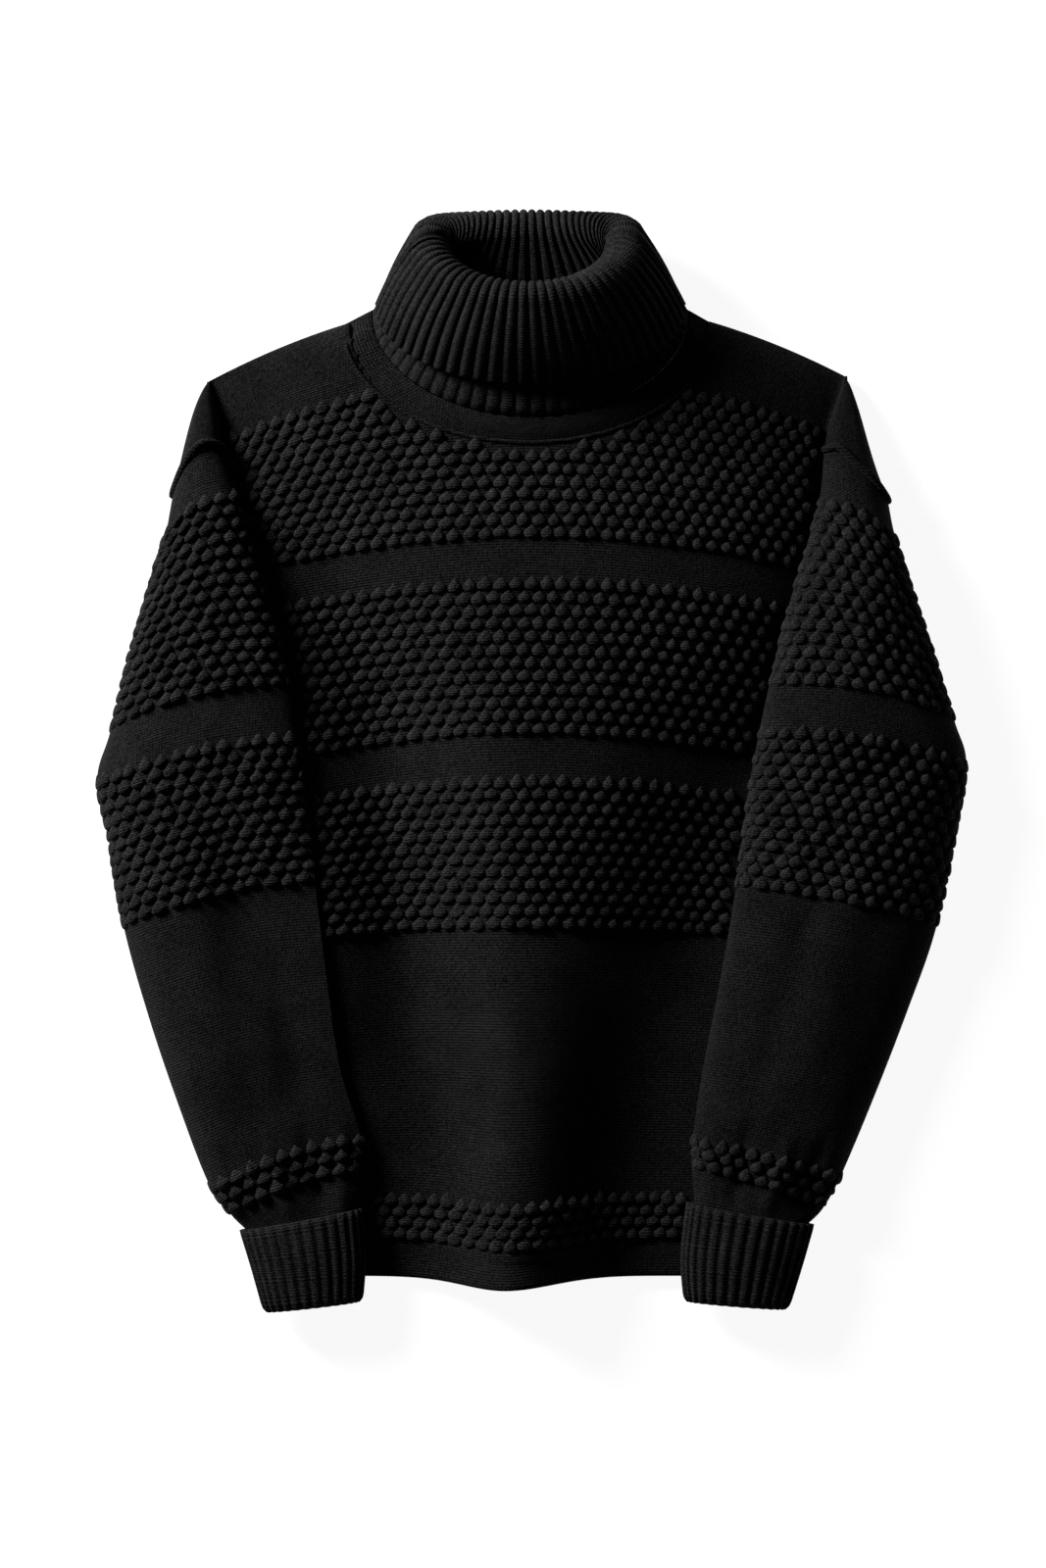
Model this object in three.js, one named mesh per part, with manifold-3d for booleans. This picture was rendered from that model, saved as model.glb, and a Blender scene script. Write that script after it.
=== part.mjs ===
// Turtleneck sweater in heavy wool, laid flat on its back with the sleeves brought down over the
// sides of the body. Millimetres, +Z up, neck towards +Y, left and right as seen from above.
// Every piece is a knitted wall: a sheet of points worked out from the tables, given a thickness.
import * as THREE from 'three';
import { mergeVertices } from 'three/addons/utils/BufferGeometryUtils.js';
import Module from 'manifold-3d';

const wasm = await Module();
wasm.setup();

// Driving dimensions
const WALL = 2.6; // thickness of the knitted cloth
const GAP = 0.3; // space left between two pieces at a seam
const BACK_TOP = WALL; // upper face of the back panel, which lies on the surface
const REST_TOP = 6.0; // upper face of the front panel where it lies on the back panel
const LIFT = 0.6; // space left under a sleeve or cuff that lies on the front panel
const REST_CLEAR = 12; // how far outside the body's edge a sleeve starts to come down
const REST_REACH = 38; // how far outside the body's edge it reaches the surface
const HALF_CHEST = 226; // half the width over the shoulder corners
const HEM_Y = -362;
const SHOULDER_ROUNDING = 34; // how far in from the shoulder line the front rises
const CAP_LAST_ROW = 0.12; // a row this near the seam, as a share of the cap, is moved onto it
const CAP_BULGE = { left: 5, right: 2 }; // how far each shoulder cap swells past a straight line
const CAP_BULGE_TOP = 0.6; // below 1, the cap swells most near the shoulder corner
const HEM_LINE_RISE = 1.2; // raised line knitted above the hem
const HEM_LINE_UP = 23.5; // height of that line above the hem
const SLEEVE_FOLD = 5; // height of a sleeve's side folds over what it lies on
const SLEEVE_COLUMNS = 24; // points round a sleeve
const CUFF_FOLD = 8.5; // height of a cuff's side folds over what it lies on
const SEAM_START = 0.06; // where the sleeve starts, in rows of its table below the seam
const NECK_COLUMNS = 56; // points round the neck band
const COLLAR_RIBS = 64;
const COLLAR_RIB_DEPTH = 1.3;
const CUFF_RIBS = 30;
const CUFF_RIB_DEPTH = 1.0;
const CUFF_LAYER_GAP = 0.9; // air between the cuff's two layers
const INNER_CUFF_START = 0.42; // where the cuff's inner layer meets the sleeve, from its free edge
const COLLAR_FOLD = { front: 9, side: 12, back: 11 }; // radius of the soft turn at the top
const COLLAR_BELLY = 4; // how far the turned-down layer swells away from the standing one

// Knitted courses of the body: height at the centre and how far the row droops at the sides
const COURSES = [
  { y: 330, droop: 60 },
  { y: 273, droop: 47 },
  { y: 150, droop: 29 },
  { y: 10, droop: 31 },
  { y: -115, droop: 17 },
  { y: -250, droop: 5 },
  { y: HEM_Y, droop: 0 },
];

// Side edges of the body panels: the crease at the shoulder, the armhole and the side seam
const BODY_SIDES = [
  { y: 270, left: -226, right: 219 },
  { y: 225, left: -217, right: 206 },
  { y: 120, left: -211, right: 209 },
  { y: 56, left: -216, right: 214 },
  { y: -100, left: -208, right: 206 },
  { y: -230, left: -199, right: 194 },
  { y: HEM_Y, left: -190, right: 183 },
];

// Where the inner edge of each sleeve lies on the body
const VALLEYS = [
  { y: 273, left: -222, right: 214 },
  { y: 225, left: -215, right: 203 },
  { y: 180, left: -202, right: 199 },
  { y: 120, left: -185, right: 184 },
  { y: 56, left: -168, right: 167 },
  { y: 0, left: -162, right: 156 },
  { y: -60, left: -154, right: 146 },
  { y: -120, left: -147, right: 138 },
  { y: -200, left: -138, right: 124 },
  { y: -260, left: -121, right: 114 },
  { y: HEM_Y, left: -118, right: 104 },
];

// Fullness of the front: where its crest runs, how high it stands, and how narrow the ridge is on
// either side of it; towards the hem it gathers into one deep fold, and by the left sleeve the front
// is pushed up and nests under it
const FULLNESS = [
  { y: 330, crest: 0, height: 24, left: 0.9, right: 0.9, nest: 0 },
  { y: 224, crest: -5, height: 23, left: 1.0, right: 0.8, nest: 0 },
  { y: 150, crest: -15, height: 28, left: 1.3, right: 0.8, nest: 3 },
  { y: 50, crest: -20, height: 31, left: 1.9, right: 1.0, nest: 8 },
  { y: -50, crest: -22, height: 33, left: 3.0, right: 1.8, nest: 11 },
  { y: -150, crest: -24, height: 34, left: 4.4, right: 3.2, nest: 12 },
  { y: -240, crest: -25, height: 35, left: 4.6, right: 4.6, nest: 5 },
  { y: -285, crest: -26, height: 35, left: 4.5, right: 4.8, nest: 0 },
  { y: HEM_Y, crest: -28, height: 33, left: 4.4, right: 5.0, nest: 0 },
];

const NEST_RISE = 36; // how far in from the side edge the nest has risen
const NEST_FALL = 48; // how far past the sleeve's inner edge it falls away
const NEST_ROOM = 14; // how much sooner the sleeve over it rises

// The hem hangs lower where the fold ends in it
const HEM_WAVE = { x: -22, reach: 45, low: 7, high: 3, from: -180 };

// Armhole seams where they show on the shoulder, from the crease outwards
const SEAMS = {
  left: [
    { x: -216, y: 222 },
    { x: -226, y: 226 },
    { x: -235, y: 221 },
    { x: -243, y: 209 },
    { x: -252, y: 189 },
  ],
  right: [
    { x: 205, y: 221 },
    { x: 214, y: 222 },
    { x: 225, y: 211 },
    { x: 238, y: 200 },
    { x: 250, y: 185 },
  ],
};

// Sleeves, from the armhole seam to the cuff: the outer and inner ends of a knitted row, how far
// the row arches towards the shoulder between them, the height of the sleeve there, how far its
// crest leans outwards (above 1), and how far its underside is lifted into the cuff
const SLEEVES = {
  left: [
    { outerX: -252, outerY: 189, innerX: -216, innerY: 222, arch: 13, height: 27, skew: 1, tuck: 0 },
    { outerX: -258, outerY: 156, innerX: -206, innerY: 191, arch: 10, height: 33, skew: 1, tuck: 0 },
    { outerX: -269, outerY: 122, innerX: -196, innerY: 156, arch: 9, height: 37, skew: 1, tuck: 0 },
    { outerX: -283, outerY: 75, innerX: -180, innerY: 103, arch: 8, height: 40, skew: 1.1, tuck: 0 },
    { outerX: -296, outerY: 23, innerX: -168, innerY: 54, arch: 7.6, height: 41, skew: 1.2, tuck: 0 },
    { outerX: -305, outerY: -10, innerX: -163, innerY: 22, arch: 7, height: 42, skew: 1.3, tuck: 0 },
    { outerX: -297, outerY: -52, innerX: -158, innerY: -16, arch: 7, height: 42, skew: 1.5, tuck: 0 },
    { outerX: -286, outerY: -115, innerX: -151, innerY: -84, arch: 7, height: 42, skew: 1.9, tuck: 0 },
    { outerX: -268, outerY: -179, innerX: -143, innerY: -151, arch: 6, height: 41, skew: 2.2, tuck: 0 },
    { outerX: -247, outerY: -241, innerX: -134, innerY: -212, arch: 6, height: 39, skew: 2.2, tuck: 0 },
    { outerX: -227, outerY: -293, innerX: -120, innerY: -259, arch: 7, height: 36, skew: 2.0, tuck: 0 },
    { outerX: -211, outerY: -315, innerX: -117, innerY: -286, arch: 5, height: 32, skew: 1.6, tuck: 0 },
    { outerX: -198, outerY: -328, innerX: -123, innerY: -312, arch: 3, height: 29, skew: 1, tuck: 4.4 },
    { outerX: -192, outerY: -342, innerX: -124, innerY: -334, arch: 1, height: 26, skew: 1, tuck: 4.4 },
  ],
  right: [
    { outerX: 250, outerY: 185, innerX: 205, innerY: 221, arch: 1, height: 27, skew: 1, tuck: 0 },
    { outerX: 255, outerY: 160, innerX: 202, innerY: 188, arch: 4, height: 33, skew: 1, tuck: 0 },
    { outerX: 266, outerY: 125, innerX: 194, innerY: 158, arch: 5, height: 37, skew: 1, tuck: 0 },
    { outerX: 282, outerY: 77, innerX: 178, innerY: 104, arch: 7, height: 40, skew: 0.95, tuck: 0 },
    { outerX: 297, outerY: 30, innerX: 166, innerY: 54, arch: 8, height: 41, skew: 0.9, tuck: 0 },
    { outerX: 305, outerY: 2, innerX: 160, innerY: 26, arch: 7, height: 41, skew: 0.9, tuck: 0 },
    { outerX: 299, outerY: -41, innerX: 152, innerY: -17, arch: 6, height: 39, skew: 0.9, tuck: 0 },
    { outerX: 284, outerY: -114, innerX: 143, innerY: -86, arch: 4, height: 37, skew: 0.95, tuck: 0 },
    { outerX: 264, outerY: -172, innerX: 132, innerY: -151, arch: 3, height: 35, skew: 0.95, tuck: 0 },
    { outerX: 240, outerY: -234, innerX: 120, innerY: -213, arch: 3, height: 33, skew: 0.95, tuck: 0 },
    { outerX: 218, outerY: -286, innerX: 113, innerY: -260, arch: 2, height: 31, skew: 1, tuck: 0 },
    { outerX: 204, outerY: -311, innerX: 112, innerY: -282, arch: 2, height: 28, skew: 1, tuck: 0 },
    { outerX: 190, outerY: -325, innerX: 114, innerY: -308, arch: 2, height: 27, skew: 1, tuck: 4.4 },
    { outerX: 183, outerY: -340, innerX: 113, innerY: -332, arch: 1, height: 26, skew: 1, tuck: 4.4 },
  ],
};

// Cuffs: the outer and inner ends of the free edge and of the fold at the wrist
const CUFFS = {
  left: [
    { outerX: -205, outerY: -326, innerX: -118, innerY: -310, height: 32 },
    { outerX: -197, outerY: -352, innerX: -116, innerY: -344, height: 31 },
    { outerX: -188, outerY: -384, innerX: -118, innerY: -376, height: 28 },
  ],
  right: [
    { outerX: 198, outerY: -322, innerX: 108, innerY: -306, height: 32 },
    { outerX: 190, outerY: -350, innerX: 104, innerY: -344, height: 31 },
    { outerX: 180, outerY: -382, innerX: 106, innerY: -376, height: 28 },
  ],
};

// Rings round the neck: centre, half width, depth in front of and behind the centre, and heights;
// below 1, square makes the back of a ring squarer and fall brings it down sooner
const NECK_RINGS = {
  seam: { x: -2, y: 308, half: 130, front: 83, back: 4, zFront: 27, zSide: 4.6, zBack: 1.3 },
  base: { x: -1, y: 318, half: 110, front: 74, back: 6, zFront: 32, zSide: 10, zBack: 6 },
  rim: { x: -3, y: 365, half: 60, front: 31, back: 21, zFront: 72, zSide: 40, zBack: 12.5, square: 0.6 },
  edge: { x: -1, y: 321, half: 106.5, front: 56, back: 5, zFront: 45, zSide: 18, zBack: 1.5, fall: 0.6 },
};

const KNIT = new THREE.MeshStandardMaterial({ color: 0x1c1c1f, roughness: 0.95, metalness: 0 });

// Smooth curve through a table: the value of one column at a place in another
function readTable(rows, key, at, column) {
  const falling = rows[0][key] > rows[rows.length - 1][key];
  let i = 0;
  while (i < rows.length - 2 && (falling ? at < rows[i + 1][key] : at > rows[i + 1][key])) i += 1;
  const before = rows[Math.max(i - 1, 0)];
  const after = rows[Math.min(i + 2, rows.length - 1)];
  const [a, b] = [rows[i], rows[i + 1]];
  const span = b[key] - a[key];
  const f = THREE.MathUtils.clamp((at - a[key]) / span, 0, 1);
  const slopeA = ((b[column] - before[column]) / (b[key] - before[key])) * span;
  const slopeB = ((after[column] - a[column]) / (after[key] - a[key])) * span;
  const f2 = f * f;
  const f3 = f2 * f;
  return (2 * f3 - 3 * f2 + 1) * a[column] + (f3 - 2 * f2 + f) * slopeA
    + (3 * f2 - 2 * f3) * b[column] + (f3 - f2) * slopeB;
}

// The same along a table that is read by row number
function readRow(rows, at, column) {
  const numbered = rows.map((row, i) => ({ ...row, i }));
  return readTable(numbered, 'i', at, column);
}

// Sheet of points in rows and columns, with its faces; a closed sheet's columns run all round
function gridSheet(rowCount, columnCount, closed, place) {
  const points = [];
  const faces = [];
  for (let i = 0; i < rowCount; i += 1) {
    for (let j = 0; j < columnCount; j += 1) points.push(place(i / (rowCount - 1), j, i));
  }
  const last = closed ? columnCount : columnCount - 1;
  for (let i = 0; i < rowCount - 1; i += 1) {
    for (let j = 0; j < last; j += 1) {
      const k = (j + 1) % columnCount;
      const row = i * columnCount;
      faces.push([row + j, row + k, row + columnCount + k, row + columnCount + j]);
    }
  }
  return { points, faces };
}

// Normals of a sheet at its points
function sheetNormals({ points, faces }) {
  const normals = points.map(() => new THREE.Vector3());
  for (const face of faces) {
    const [a, b, c] = face;
    const d = face[face.length - 1];
    const diagonal = points[c].clone().sub(points[a]);
    const other = points[d].clone().sub(points[b]);
    const normal = face.length === 4 ? diagonal.cross(other)
      : points[b].clone().sub(points[a]).cross(diagonal);
    for (const corner of face) normals[corner].add(normal);
  }
  return normals.map((normal) => normal.normalize());
}

// Closed wall made from a sheet: its upper face moved out, its lower face moved in, and the edges
function wallFromSheet(sheet, below, above, floor = 0) {
  const { points, faces } = sheet;
  const normals = sheetNormals(sheet);
  const count = points.length;
  const positions = [];
  const addLayer = (offset) => {
    points.forEach((point, i) => {
      const size = typeof offset === 'function' ? offset(i) : offset;
      const moved = point.clone().addScaledVector(normals[i], size);
      positions.push(moved.x, moved.y, Math.max(moved.z, floor));
    });
  };
  addLayer(above);
  addLayer((i) => -(typeof below === 'function' ? below(i) : below));
  const index = [];
  const addFace = (corners) => {
    for (let k = 1; k < corners.length - 1; k += 1) index.push(corners[0], corners[k], corners[k + 1]);
  };
  const edges = new Map();
  for (const face of faces) {
    addFace(face);
    addFace(face.map((corner) => corner + count).reverse());
    face.forEach((from, k) => {
      const to = face[(k + 1) % face.length];
      if (edges.has(`${to},${from}`)) edges.delete(`${to},${from}`);
      else edges.set(`${from},${to}`, [from, to]);
    });
  }
  for (const [from, to] of edges.values()) addFace([to, from, from + count, to + count]);
  const geometry = new THREE.BufferGeometry();
  geometry.setAttribute('position', new THREE.Float32BufferAttribute(positions, 3));
  geometry.setIndex(index);
  return geometry;
}

// Solid for cutting, and the way back
function toManifold(geometry) {
  const plain = geometry.clone();
  plain.deleteAttribute('normal');
  plain.deleteAttribute('uv');
  const merged = mergeVertices(plain, 1e-4);
  return new wasm.Manifold(new wasm.Mesh({
    numProp: 3,
    vertProperties: Float32Array.from(merged.attributes.position.array),
    triVerts: Uint32Array.from(merged.index.array),
  }));
}

function fromManifold(solid) {
  const mesh = solid.getMesh();
  const geometry = new THREE.BufferGeometry();
  geometry.setAttribute('position', new THREE.BufferAttribute(mesh.vertProperties, 3));
  geometry.setIndex(new THREE.BufferAttribute(mesh.triVerts, 1));
  return geometry;
}

// Point of a body panel's row, in plan: across runs from -1 at the left edge to 1 at the right
function bodyPoint(across, courseY) {
  const droop = readTable(COURSES, 'y', courseY, 'droop');
  const side = across < 0 ? 'left' : 'right';
  let x = Math.abs(across) * HALF_CHEST * Math.sign(across);
  let y = courseY;
  for (let pass = 0; pass < 6; pass += 1) {
    y = courseY - droop * (x / HALF_CHEST) ** 2;
    x = Math.abs(across) * readTable(BODY_SIDES, 'y', y, side);
  }
  const nearHem = 1 - THREE.MathUtils.smoothstep(courseY, HEM_Y, HEM_WAVE.from);
  const low = HEM_WAVE.low * Math.exp(-(((x - HEM_WAVE.x) / HEM_WAVE.reach) ** 2));
  return new THREE.Vector2(x, y + nearHem * (HEM_WAVE.high - low));
}

// How far the front is pushed up under the inner edge of the left sleeve
function nestHeight(x, y, room) {
  const edge = readTable(BODY_SIDES, 'y', y, 'left') - room;
  const valley = readTable(VALLEYS, 'y', y, 'left');
  const height = Math.max(readTable(FULLNESS, 'y', y, 'nest'), 0);
  return height * THREE.MathUtils.smoothstep(x, edge, edge + NEST_RISE)
    * (1 - THREE.MathUtils.smoothstep(x, valley, valley + NEST_FALL));
}

// Height of the front panel's upper face over a place of its row
function frontHeight(x, y, courseY) {
  const crest = readTable(FULLNESS, 'y', y, 'crest');
  const height = readTable(FULLNESS, 'y', y, 'height');
  const side = x < crest ? 'left' : 'right';
  const narrow = readTable(FULLNESS, 'y', y, side);
  const valley = readTable(VALLEYS, 'y', y, side);
  const share = THREE.MathUtils.clamp((x - crest) / (valley - crest), 0, 1);
  const inset = THREE.MathUtils.clamp((COURSES[0].y - courseY) / SHOULDER_ROUNDING, 0, 1);
  const rounding = Math.sqrt(1 - (1 - inset) ** 2);
  return REST_TOP + nestHeight(x, y, 0) + height * (1 - share * share) ** narrow * rounding;
}

// Sheet of a body panel: its rows, with the shoulder caps outside the armhole creases
function bodySheet(courseYs, columnCount, heightAt, raised) {
  const sheet = gridSheet(courseYs.length, columnCount, false, (_, j, i) => {
    const place = bodyPoint(1 - (2 * j) / (columnCount - 1), courseYs[i]);
    return new THREE.Vector3(place.x, place.y, heightAt(place.x, place.y, courseYs[i]));
  });
  addCap(sheet, columnCount, 'left', raised);
  addCap(sheet, columnCount, 'right', raised);
  return sheet;
}

// Shoulder cap: rows that fan out from the shoulder corner and end at the armhole seam
function addCap(sheet, columnCount, side, raised) {
  const onLeft = side === 'left';
  const edgeColumn = onLeft ? columnCount - 1 : 0;
  const edgeIndex = (i) => i * columnCount + edgeColumn;
  const corner = sheet.points[edgeColumn];
  const seamY = SEAMS[side][0].y;
  const outward = onLeft ? -CAP_BULGE.left : CAP_BULGE.right;
  const steps = SLEEVE_COLUMNS / 2;
  const rows = [[]];
  for (let share = 0, i = 1; share < 1; i += 1) {
    const inner = sheet.points[edgeIndex(i)];
    share = (corner.y - inner.y) / (corner.y - seamY);
    if (share > 1 - CAP_LAST_ROW) share = 1;
    if (share === 1) inner.set(SEAMS[side][0].x, seamY, inner.z);
    const row = [edgeIndex(i)];
    for (let k = 1; k <= steps; k += 1) {
      const seam = sleevePoint(side, 0, k / SLEEVE_COLUMNS);
      const bulge = outward * Math.sin(Math.PI * share ** CAP_BULGE_TOP) * (k / steps);
      const x = inner.x + share * (seam.x - SEAMS[side][0].x) + bulge;
      const y = inner.y + share * (seam.y - seamY);
      const z = raised ? inner.z + (seam.z - inner.z) * share ** 0.7 : inner.z;
      sheet.points.push(new THREE.Vector3(x, y, z));
      row.push(sheet.points.length - 1);
    }
    rows.push(row);
  }
  const addFace = (face) => sheet.faces.push(onLeft ? face : face.reverse());
  for (let k = 0; k < steps; k += 1) {
    addFace([edgeIndex(0), rows[1][k + 1], rows[1][k]]);
    for (let i = 1; i < rows.length - 1; i += 1) {
      addFace([rows[i][k], rows[i][k + 1], rows[i + 1][k + 1], rows[i + 1][k]]);
    }
  }
}

// Solid that cuts a body panel's neckline, from the shoulder line down to the seam
function neckCutter(depth) {
  const { x, y, half } = NECK_RINGS.seam;
  const outline = new THREE.Shape();
  outline.moveTo(x - half, y);
  outline.absellipse(x, y, half, depth, Math.PI, 2 * Math.PI, false);
  outline.lineTo(x + half, y + 60);
  outline.lineTo(x - half, y + 60);
  const prism = new THREE.ExtrudeGeometry(outline, { depth: 90, bevelEnabled: false, curveSegments: 40 });
  return toManifold(prism.translate(0, 0, -10));
}

// Courses of a panel: close together where the cloth turns over the shoulder, even below
function courseList(turnRows, evenRows) {
  const list = [];
  const top = COURSES[0].y;
  const turnEnd = top - SHOULDER_ROUNDING;
  for (let i = 0; i < turnRows; i += 1) list.push(top - SHOULDER_ROUNDING * (i / turnRows) ** 1.6);
  for (let i = 0; i <= evenRows; i += 1) list.push(turnEnd + (HEM_Y - turnEnd) * (i / evenRows));
  return list;
}

// Front panel, with the raised line knitted above the hem
function makeFrontPanel() {
  const courses = courseList(4, 16);
  const lineY = HEM_Y + HEM_LINE_UP;
  for (const offset of [5, 1.5, -1.5, -5]) courses.push(lineY + offset);
  courses.sort((a, b) => b - a);
  const columns = 27;
  const sheet = bodySheet(courses, columns, frontHeight, true);
  const above = (i) => {
    const onLine = Math.abs(courses[Math.floor(i / columns)] - lineY) < 2;
    return onLine && sheet.points[i].z > REST_TOP + HEM_LINE_RISE ? HEM_LINE_RISE : 0;
  };
  const wall = wallFromSheet(sheet, WALL, above, BACK_TOP + GAP);
  return fromManifold(toManifold(wall).subtract(neckCutter(NECK_RINGS.seam.front)));
}

function makeBackPanel() {
  const sheet = bodySheet(courseList(3, 9), 13, () => BACK_TOP, false);
  const wall = wallFromSheet(sheet, WALL, 0);
  return fromManifold(toManifold(wall).subtract(neckCutter(-NECK_RINGS.seam.back)));
}

// Height that a sleeve or cuff lies on: the surface, or the body panels inside their side edge
function restHeight(x, y) {
  const edge = readTable(BODY_SIDES, 'y', y, x < 0 ? 'left' : 'right');
  const inside = Math.abs(edge) - Math.abs(x);
  const overBody = THREE.MathUtils.smoothstep(inside, -REST_REACH, -REST_CLEAR);
  return (REST_TOP + LIFT) * overBody + nestHeight(x, y, NEST_ROOM);
}

// One point round a flattened tube: turn 0 is the inner fold, half a turn later the outer fold
function tubePoint(rows, at, turn, foldLow) {
  const row = {};
  for (const column of Object.keys(rows[0])) row[column] = readRow(rows, at, column);
  const angle = turn * 2 * Math.PI;
  const out = (1 - Math.cos(angle)) / 2;
  const arch = (row.arch ?? 0) * 4 * out * (1 - out);
  const width = new THREE.Vector2(row.outerX - row.innerX, row.outerY - row.innerY);
  const side = Math.sign(row.outerX);
  const up = new THREE.Vector2(-width.y, width.x).normalize().multiplyScalar(side);
  const x = row.innerX + width.x * out + up.x * arch;
  const y = row.innerY + width.y * out + up.y * arch;
  const rest = restHeight(x, y) + (row.tuck ?? 0);
  const fold = rest + foldLow;
  const lift = Math.abs(Math.sin(angle));
  const leaned = out ** (row.skew ?? 1);
  const swell = 2 * Math.sqrt(Math.max(leaned * (1 - leaned), 0));
  const z = angle < Math.PI ? fold + (row.height - fold) * swell ** 0.75
    : fold - (fold - rest) * lift ** 0.4;
  return new THREE.Vector3(x, y, z);
}

// Sheet of a flattened tube with its faces outwards, from a place in its table to the table's end
function tubeSheet(rows, rowCount, columnCount, placeAt, start = 0) {
  const onLeft = rows[0].outerX < 0;
  return gridSheet(rowCount, columnCount, true, (share, j) => {
    const turn = onLeft ? j / columnCount : (columnCount - j) / columnCount;
    return placeAt(start + share * (rows.length - 1 - start), turn % 1);
  });
}

// The armhole seam in plan, read from the crease (0) to the outer edge (1)
function seamPlace(seam, out) {
  const at = out * (seam.length - 1);
  return new THREE.Vector2(readRow(seam, at, 'x'), readRow(seam, at, 'y'));
}

// Point of a sleeve: a flattened tube whose first row follows the armhole seam
function sleevePoint(side, at, turn) {
  const rows = SLEEVES[side];
  const point = tubePoint(rows, at, turn, SLEEVE_FOLD);
  if (at >= 1) return point;
  const start = tubePoint(rows, 0, turn, SLEEVE_FOLD);
  const seam = seamPlace(SEAMS[side], (1 - Math.cos(turn * 2 * Math.PI)) / 2);
  const share = (1 - at) ** 2;
  point.x += share * (seam.x - start.x);
  point.y += share * (seam.y - start.y);
  return point;
}

function makeSleeve(side) {
  const place = (at, turn) => sleevePoint(side, at, turn);
  const sheet = tubeSheet(SLEEVES[side], 17, SLEEVE_COLUMNS, place, SEAM_START);
  return wallFromSheet(sheet, WALL, 0);
}

// Cuff: a ribbed tube folded back at the wrist, its free edge round the end of the sleeve
function makeCuff(rows) {
  const columnCount = CUFF_RIBS * 2;
  const depth = WALL + CUFF_LAYER_GAP;
  const layers = [0, 0.5, 0.94];
  const place = (at, turn) => tubePoint(rows, at, turn, CUFF_FOLD);
  const outer = tubeSheet(rows, 25, columnCount, place);
  const normals = sheetNormals(outer);
  const readAt = (share, j) => {
    const row = Math.round(share * 24);
    return { point: outer.points[row * columnCount + j], normal: normals[row * columnCount + j] };
  };
  const loops = [];
  const addLoop = (share, inward, ribbed) => loops.push(Array.from({ length: columnCount }, (_, j) => {
    const { point, normal } = readAt(share, j);
    const rib = ribbed && j % 2 ? CUFF_RIB_DEPTH : 0;
    return point.clone().addScaledVector(normal, -inward - rib);
  }));
  for (const share of layers) addLoop(share, 0, true);
  addLoop(1, WALL, true);
  addLoop(1, WALL + depth, true);
  addLoop(0.94, 2 * depth, false);
  addLoop(INNER_CUFF_START, 2 * depth, false);
  addLoop(INNER_CUFF_START, depth + GAP, false);
  addLoop(0.9, depth + GAP, false);
  addLoop(0.9, WALL, false);
  addLoop(0, WALL, false);
  return closedLoops(loops);
}

// Solid whose surface runs round through a list of closed loops and back to the first
function closedLoops(loops) {
  const count = loops[0].length;
  const positions = loops.flat().flatMap((point) => [point.x, point.y, Math.max(point.z, 0)]);
  const index = [];
  loops.forEach((_, i) => {
    const next = ((i + 1) % loops.length) * count;
    for (let j = 0; j < count; j += 1) {
      const k = (j + 1) % count;
      const [a, b, c, d] = [i * count + j, i * count + k, next + k, next + j];
      index.push(a, b, c, a, c, d);
    }
  });
  const geometry = new THREE.BufferGeometry();
  geometry.setAttribute('position', new THREE.Float32BufferAttribute(positions, 3));
  geometry.setIndex(index);
  return geometry;
}

// Point of a ring round the neck; turn 0 is the right side and a quarter turn later the front
function ringPoint(ring, turn) {
  const angle = turn * 2 * Math.PI;
  const forward = Math.sin(angle);
  const depth = forward > 0 ? ring.front : ring.back;
  const height = forward > 0 ? ring.zFront : ring.zBack;
  const square = forward > 0 ? 1 : ring.square ?? 1;
  const fall = forward > 0 ? 1 : ring.fall ?? 1;
  return new THREE.Vector3(
    ring.x + ring.half * Math.cos(angle),
    ring.y - depth * Math.sign(forward) * Math.abs(forward) ** square,
    ring.zSide + (height - ring.zSide) * Math.abs(forward) ** fall,
  );
}

// Band picked up round the neckline, from its seam to the foot of the collar
function makeNeckBand() {
  const marginLow = 3 * GAP;
  const marginHigh = 3.4;
  const sheet = gridSheet(3, NECK_COLUMNS, true, (share, j) => {
    const turn = -j / NECK_COLUMNS;
    const low = ringPoint(NECK_RINGS.seam, 1 + turn);
    const high = ringPoint(NECK_RINGS.base, 1 + turn);
    const length = low.distanceTo(high);
    const swell = 1.5 * Math.sin(Math.PI * share) * Math.max(Math.sin((1 + turn) * 2 * Math.PI), 0);
    const reach = marginLow + share * (length - marginLow - marginHigh);
    return low.lerp(high, reach / length)
      .add(new THREE.Vector3(0, 0, swell));
  });
  return wallFromSheet(sheet, WALL / 2, WALL / 2);
}

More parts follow.
